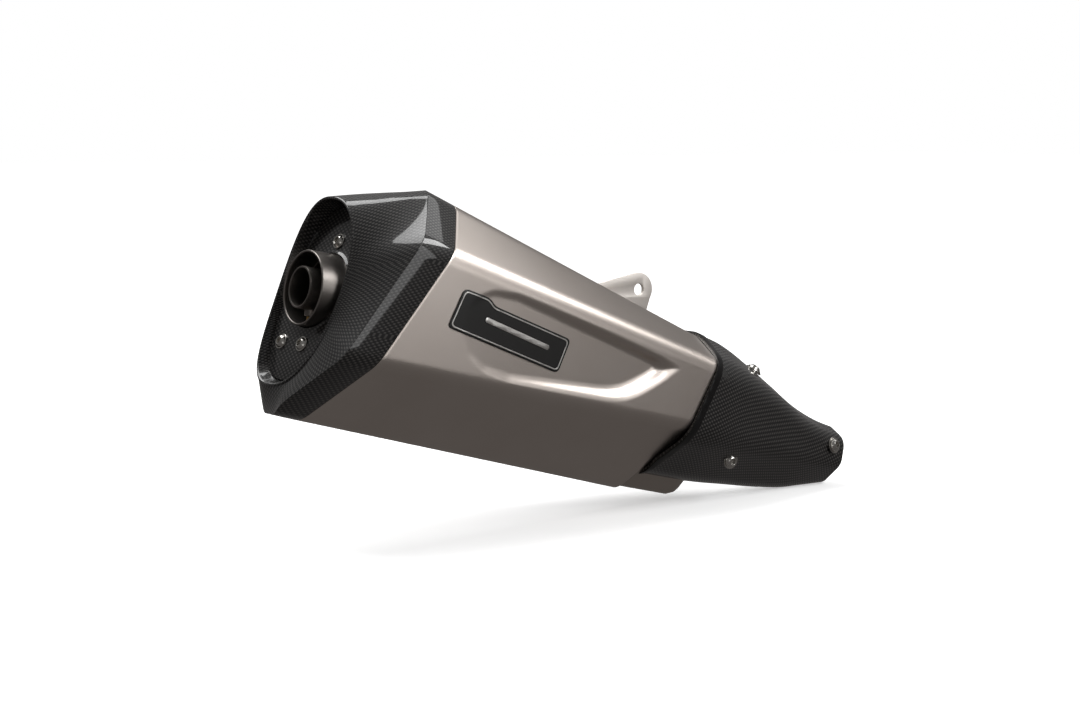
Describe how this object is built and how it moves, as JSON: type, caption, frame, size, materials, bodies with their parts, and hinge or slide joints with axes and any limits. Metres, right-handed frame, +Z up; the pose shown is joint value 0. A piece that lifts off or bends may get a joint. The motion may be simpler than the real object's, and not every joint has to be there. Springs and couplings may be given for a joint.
{
  "type": "motorcycle slip-on muffler",
  "caption": "Slip-on racing muffler: wedge-shaped titanium sleeve, carbon end cap with slanted opening, removable noise damper, carbon heat shield, hanger eye and clamped inlet socket.",
  "frame": {"origin": "centre of the inlet socket's mouth, where the header pipe goes in", "axes": "+X towards the engine, level; +Y towards the wheel side, away from the outer side with the pressed panel; +Z up as fitted, so the muffler rises to the rear by 11.26 degrees"},
  "size_m": [0.488, 0.1148, 0.2301],
  "materials": {
    "titanium": "bead blasted titanium",
    "pale_titanium": "satin titanium sheet",
    "inner_steel": "mill stainless",
    "pipe_steel": "heat tinted stainless",
    "dark_steel": "satin black coated stainless",
    "screw_steel": "polished stainless",
    "brass_screw": "satin",
    "carbon": "clear coated twill carbon fibre",
    "carbon_panel": "clear coated twill carbon fibre",
    "steel_wool": "loose steel wool",
    "glass_wool": "glass wool",
    "badge": "satin black enamel with a plain raised border"
  },
  "bodies": {
    "muffler": {"outer_sleeve": "titanium", "front_cap": "titanium", "rear_bulkhead": "inner_steel", "bond_ring": "inner_steel", "end_cap": "carbon", "end_cap_panel": "carbon_panel", "end_cap_screws": "screw_steel", "end_cap_posts": "inner_steel", "outlet_tube": "dark_steel", "perforated_core": "inner_steel", "steel_wool_wrap": "steel_wool", "packing": "glass_wool", "inlet_cone": "inner_steel", "link_pipe": "pipe_steel", "link_collar": "pipe_steel", "inlet_socket": "pipe_steel", "hanger_plate": "pale_titanium", "hanger_pad": "pale_titanium", "heat_shield": "carbon", "shield_screws": "screw_steel", "shield_washers": "screw_steel", "shield_lower_bracket": "pipe_steel", "shield_top_post": "pipe_steel", "shield_front_arm": "pipe_steel", "badge_plate": "badge"},
    "damper": {"damper": "dark_steel", "damper_tail": "dark_steel"},
    "damper_screw": {"damper_screw": "brass_screw"},
    "clamp": {"clamp_band": "screw_steel", "clamp_nut": "screw_steel"},
    "clamp_bolt": {"clamp_bolt": "screw_steel"}
  },
  "joints": [
    {"name": "damper_slide", "type": "slide", "parent": "muffler", "child": "damper", "axis": [-0.9808, 0, 0.1953], "range_m": [0, 0.07]},
    {"name": "damper_screw_turn", "type": "hinge", "parent": "damper", "child": "damper_screw", "pos_m": [-0.44873, 0, 0.1276], "axis": [0.1953, 0, 0.9808], "range_deg": [0, 720]},
    {"name": "clamp_turn", "type": "hinge", "parent": "muffler", "child": "clamp", "pos_m": [0, 0, 0], "axis": [0.9808, 0, -0.1953], "range_deg": [-15, 15]},
    {"name": "clamp_bolt_turn", "type": "hinge", "parent": "clamp", "child": "clamp_bolt", "pos_m": [-0.02845, 0.0275, 0.00566], "axis": [0.1953, 0, 0.9808], "range_deg": [0, 720]}
  ]
}
